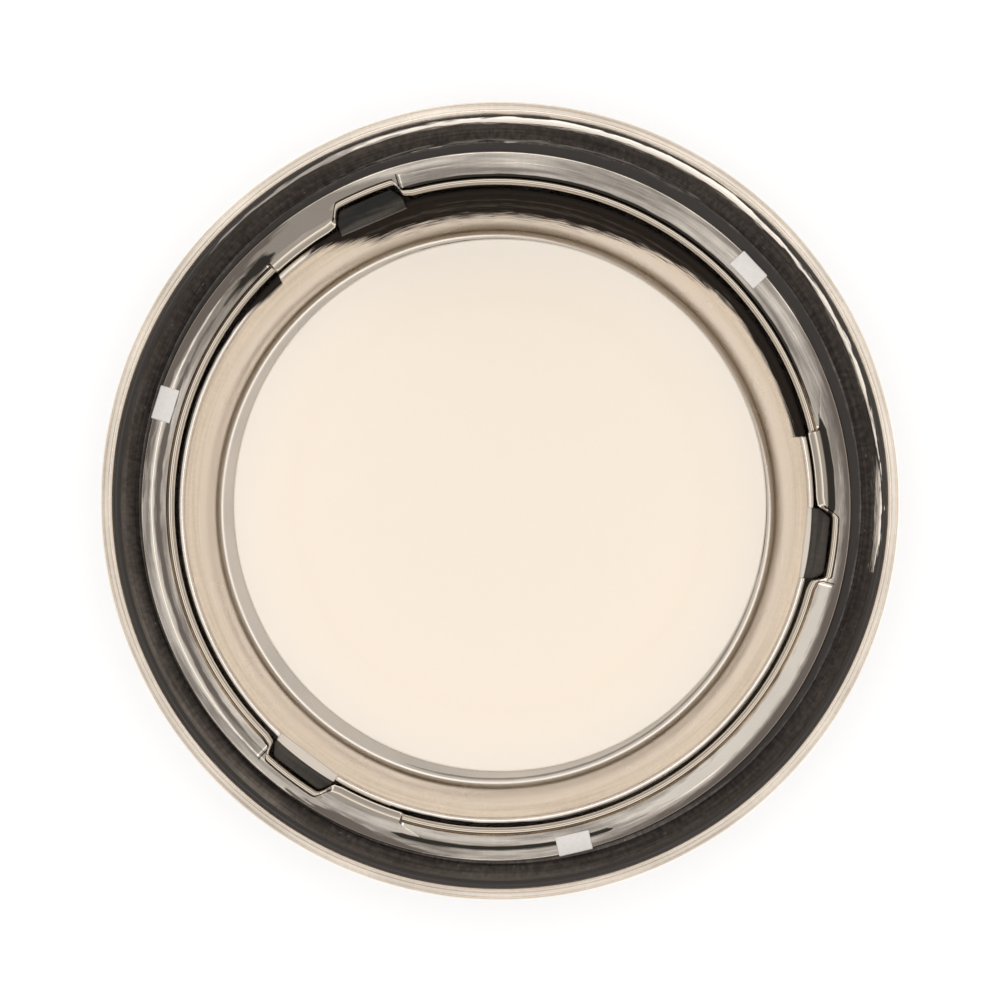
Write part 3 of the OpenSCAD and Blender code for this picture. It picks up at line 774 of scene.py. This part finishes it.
# Painted light on the dish's inside: a lighter band low on the wall is painted reflection; a darker ring at
# the wall's foot and a darker floor ring round the mat are painted shade; a large near-black crescent high on
# the wall, with a grey halo and grey lines in it, and near-black marks under the lip past each stop block are
# painted shadow, the near-black ones laid matt; thin dark lines by the mat's edge are painted shadow.
painted_shadow_black = (0.025, 0.0195, 0.016)
painted_shade_grey = (0.060, 0.050, 0.042)
painted_shade_halo = (0.34, 0.30, 0.26)
floor_tone = (0.60, 0.53, 0.455)
inner_dish.data.materials.append(with_crescents(satin, ring_centre, (
    ((0.96, 0.89, 0.81), 0, 360, 0.01, 0.01, 41.0, 1.0, 1.4, 0),
    ((0.60, 0.54, 0.47), 0, 360, 0.01, 0.01, 39.9, 0.5, 0.3, 0),
    (painted_shade_halo, 34, 94, 40, 14, 44.3, 2.8, 0.6, 2.4),
    (painted_shadow_black, 24, 103, 46, 14, 44.3, 2.45, 0.35, 2.0),
    (painted_shade_grey, 50, 66, 30, 14, 42.75, 0.10, 0.22, 1.5),
    (painted_shade_grey, 32, 70, 20, 30, 43.35, 0.06, 0.16, 0.8),
    (painted_shadow_black, 12.5, 50, 0.6, 30, 44.3, 1.1, 0.4, 0.7),
    (painted_shadow_black, 133.2, 14, 0.6, 10, 44.5, 1.0, 0.3, 0.6),
    (painted_shadow_black, 133.2, 44, 0.6, 28, 44.8, 0.55, 0.3, 0.5),
    (painted_shadow_black, 250.2, 38, 0.6, 14, 44.8, 0.5, 0.2, 0.4),
    (floor_tone, 0, 360, 0.01, 0.01, 38.3, 1.1, 0.2, 0),
    ((0.10, 0.085, 0.07), 345, 130, 24, 40, 39.15, 0.14, 0.10, 0.2),
    ((0.30, 0.26, 0.22), 250, 100, 12, 20, 39.1, 0.14, 0.10, 0.2),
), painted_shade_dark=painted_shadow_black))
# The painted shade and painted reflection are only on the inside: the outside and the underneath are plain
# satin.
inner_dish.data.materials.append(plated("dish_satin_outside", **dish_finish))
for face in inner_dish.data.polygons:
    away = face.center.xy - Vector(ring_centre) * MM
    if face.normal.z < -0.5 or (face.normal.z < 0.5 and face.normal.xy.dot(away) > 0):
        face.material_index = 1


# ---------------------------------------------------------------- Mat
# A loose disc of smooth cream soft plastic on the dish's floor, cut round with soft edges.

mat_low, mat_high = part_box("floor_mat")
mat_r = (mat_high[0] - mat_low[0]) / 2 / MM
mat_outline = [(0, dish_floor_z, 0), (mat_r, dish_floor_z, 0), (mat_r, mat_high[2] / MM, 0.3),
               (20, mat_high[2] / MM, 0), (0, mat_high[2] / MM, 0)]
cream_mat = turned("cream_mat", mat_outline, closed=False)
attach(cream_mat, "dish")
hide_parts("floor_mat")
cream = moulded("cream_plastic", (0.90, 0.79, 0.665), rough=0.45, grain=2200, depth=0.004, spread=0.012)
# Painted light: the mat is painted lighter towards its edge.
cream_mat.data.materials.append(with_crescents(cream, (0, 0), (
    ((0.96, 0.90, 0.82), 0, 360, 0.01, 0.01, mat_r, 3, 11, 0),
)))


# ---------------------------------------------------------------- Tabs
# Black moulded tabs hooked over the dish's edge. Each fills a notch in the ledge.

black_nylon = plated("black_nylon", (0.050, 0.041, 0.032), (0.006, 0.005, 0.004), rough=0.42, mark_depth=0.006,
                     fineness=2600, centre=ring_centre, streak_spread=0.09, metallic=0.0, cross=0.1)
black_nylon.node_tree.nodes["Principled BSDF"].inputs["Specular IOR Level"].default_value = 0.22
worn_hook = (0.62, 0.55, 0.47)
with_crescents(black_nylon, ring_centre, (
    (worn_hook, 220, 26, 0.01, 0.01, 44.0, 0.75, 0.05, 0),
    (worn_hook, 340, 26, 0.01, 0.01, 43.7, 0.45, 0.05, 0),
))
tab_low, tab_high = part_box("lock_tab_1")
tab_z = tab_high[2] / MM
tab_h = (tab_high[2] - tab_low[2]) / MM
hook_t = 0.4
tab_round = 0.7
for number in range(3):
    half = lip_r * math.sin(math.radians(notch_half)) + 0.35 - 0.3
    outer = notch_r - 0.3
    inner = dish_in_r - hook_t
    plan = [(inner, -half), (lip_r, -half)]
    plan += [(outer - tab_round + tab_round * math.cos(math.radians(t)),
              2 * tab_round - half + tab_round * math.sin(math.radians(t)))
             for t in (-60, -30, 0)]
    plan += [(r, -y) for r, y in plan[::-1]]
    tab = bmesh.new()
    outline = tab.faces.new([tab.verts.new((r * MM, y * MM, (tab_z - tab_h) * MM)) for r, y in plan])
    grown = bmesh.ops.extrude_face_region(tab, geom=[outline])
    raised = [v for v in grown["geom"] if isinstance(v, bmesh.types.BMVert)]
    bmesh.ops.translate(tab, verts=raised, vec=(0, 0, tab_h * MM))
    top_edges = [e for e in tab.edges if all(v in raised for v in e.verts)]
    bmesh.ops.bevel(tab, geom=top_edges, offset=0.2 * MM, offset_type="OFFSET", affect="EDGES",
                    segments=3, profile=0.5, material=-1)
    bmesh.ops.recalc_face_normals(tab, faces=tab.faces)
    bmesh.ops.rotate(tab, verts=tab.verts, cent=(0, 0, 0),
                     matrix=Matrix.Rotation(math.radians(notch_dir + fold * number), 3, "Z"))
    bmesh.ops.translate(tab, verts=tab.verts, vec=(ring_centre[0] * MM, ring_centre[1] * MM, 0))
    piece = finished(f"black_tab_{number + 1}", tab)
    piece.data.materials.append(black_nylon)
    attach(piece, "dish")
    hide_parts(f"lock_tab_{number + 1}")


# ---------------------------------------------------------------- Underside and inside
# The rubber foot, and the hidden bearing: nylon glide disc, steel pins, rivet and washer.

foot_w = 5
foot_inset = 7
foot_r = shell_foot_r - foot_inset
foot_outline = [(foot_r - foot_w, shell_z, 0), (foot_r, shell_z, 0),
                (foot_r, 0, 0.4), (foot_r - foot_w, 0, 0.4)]
rubber_foot = turned("rubber_foot", foot_outline)
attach(rubber_foot, "shell")
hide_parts("foot_ring")
rubber_foot.data.materials.append(moulded("foot_rubber_black", (0.022, 0.022, 0.022), rough=0.7,
                                          grain=1500, depth=0.03))

natural_nylon = moulded("natural_nylon", (0.82, 0.80, 0.74), rough=0.4, grain=1200, depth=0.01)
pin_steel = plated("bright_steel", (0.62, 0.61, 0.60), (0.50, 0.50, 0.50), rough=0.3,
                   mark_depth=0.01, fineness=4000)
for node, finish in (("glide_disc", natural_nylon), ("pivot_rivet", pin_steel),
                     ("friction_washer", pin_steel)):
    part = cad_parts[node]
    for spot in part.material_slots:
        spot.material = finish


# Three steel pins pressed halfway into the shell's floor, so the underside stays whole
pin_r = 1.5
pin_pitch_r = 20
pin_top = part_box("key_pins")[1][2] / MM
pin_foot = (shell_z + floor_z) / 2
pins = bmesh.new()
for number in range(3):
    pin_place = (Matrix.Translation((ring_centre[0] * MM, ring_centre[1] * MM, (pin_foot + pin_top) / 2 * MM))
                 @ Matrix.Rotation(math.radians(fold * number), 4, "Z")
                 @ Matrix.Translation((pin_pitch_r * MM, 0, 0)))
    bmesh.ops.create_cone(pins, cap_ends=True, segments=64, radius1=pin_r * MM, radius2=pin_r * MM,
                          depth=(pin_top - pin_foot) * MM, matrix=pin_place)
pin_tips = [e for e in pins.edges if all(v.co.z > (pin_top - 0.01) * MM for v in e.verts)]
bmesh.ops.bevel(pins, geom=pin_tips, offset=0.25 * MM, offset_type="OFFSET", affect="EDGES",
                segments=3, profile=0.5, material=-1)
steel_pins = finished("steel_key_pins", pins)
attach(steel_pins, "shell")
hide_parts("key_pins")
steel_pins.data.materials.append(pin_steel)
